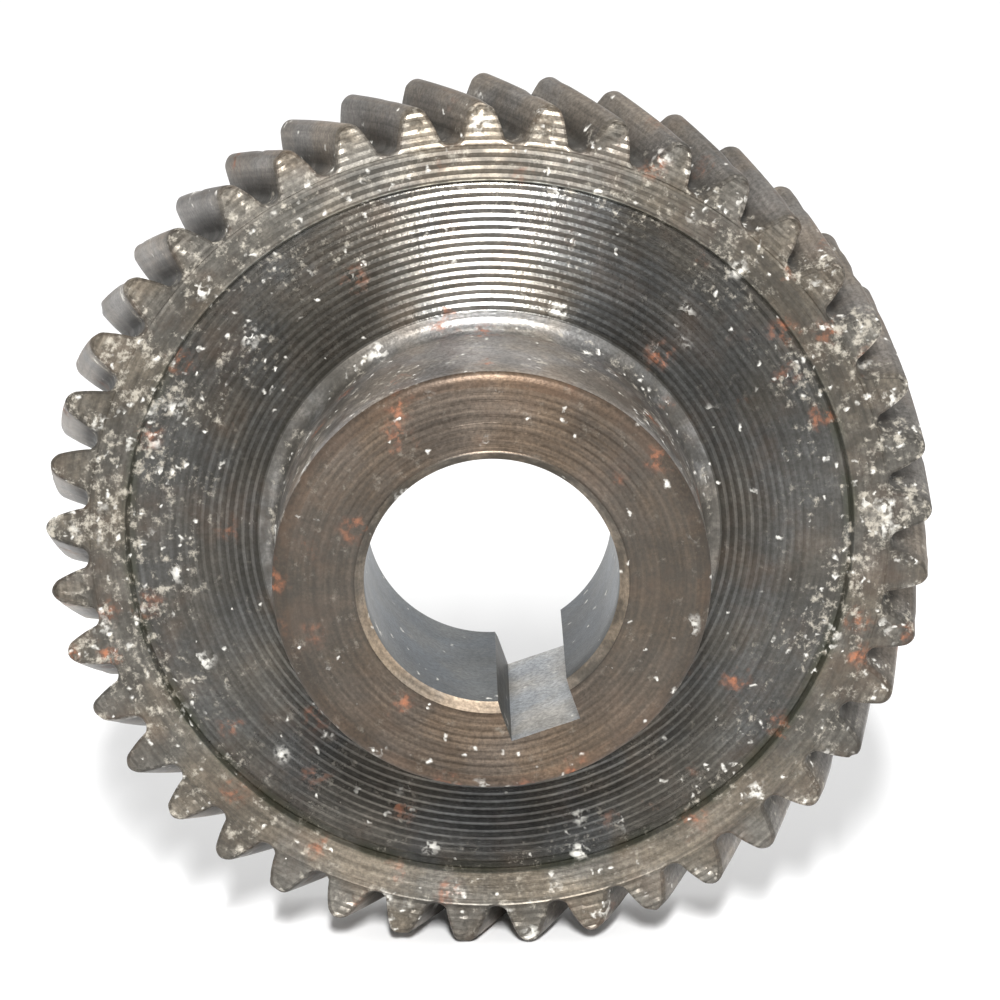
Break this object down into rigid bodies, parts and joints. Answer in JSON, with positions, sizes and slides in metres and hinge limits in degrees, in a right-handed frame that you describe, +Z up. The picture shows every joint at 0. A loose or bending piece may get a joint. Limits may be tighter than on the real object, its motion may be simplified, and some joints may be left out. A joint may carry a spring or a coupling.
{
  "type": "helical gear",
  "caption": "Steel helical gear with left-hand teeth on a thin web, a long one-sided hub and a bore with one square keyway.",
  "frame": {"origin": "on the bore axis, at the middle of the toothed rim's width", "axes": "+Z up, the gear stands on its teeth; Y along the bore, the hub points to -Y; +X to the right seen from the hub side"},
  "size_m": [0.05, 0.0159, 0.05],
  "materials": {
    "worn_steel": "coarse turned rings, dark oil film, light rust spots"
  },
  "bodies": {
    "root": {"helical_gear": "worn_steel"}
  },
  "joints": []
}
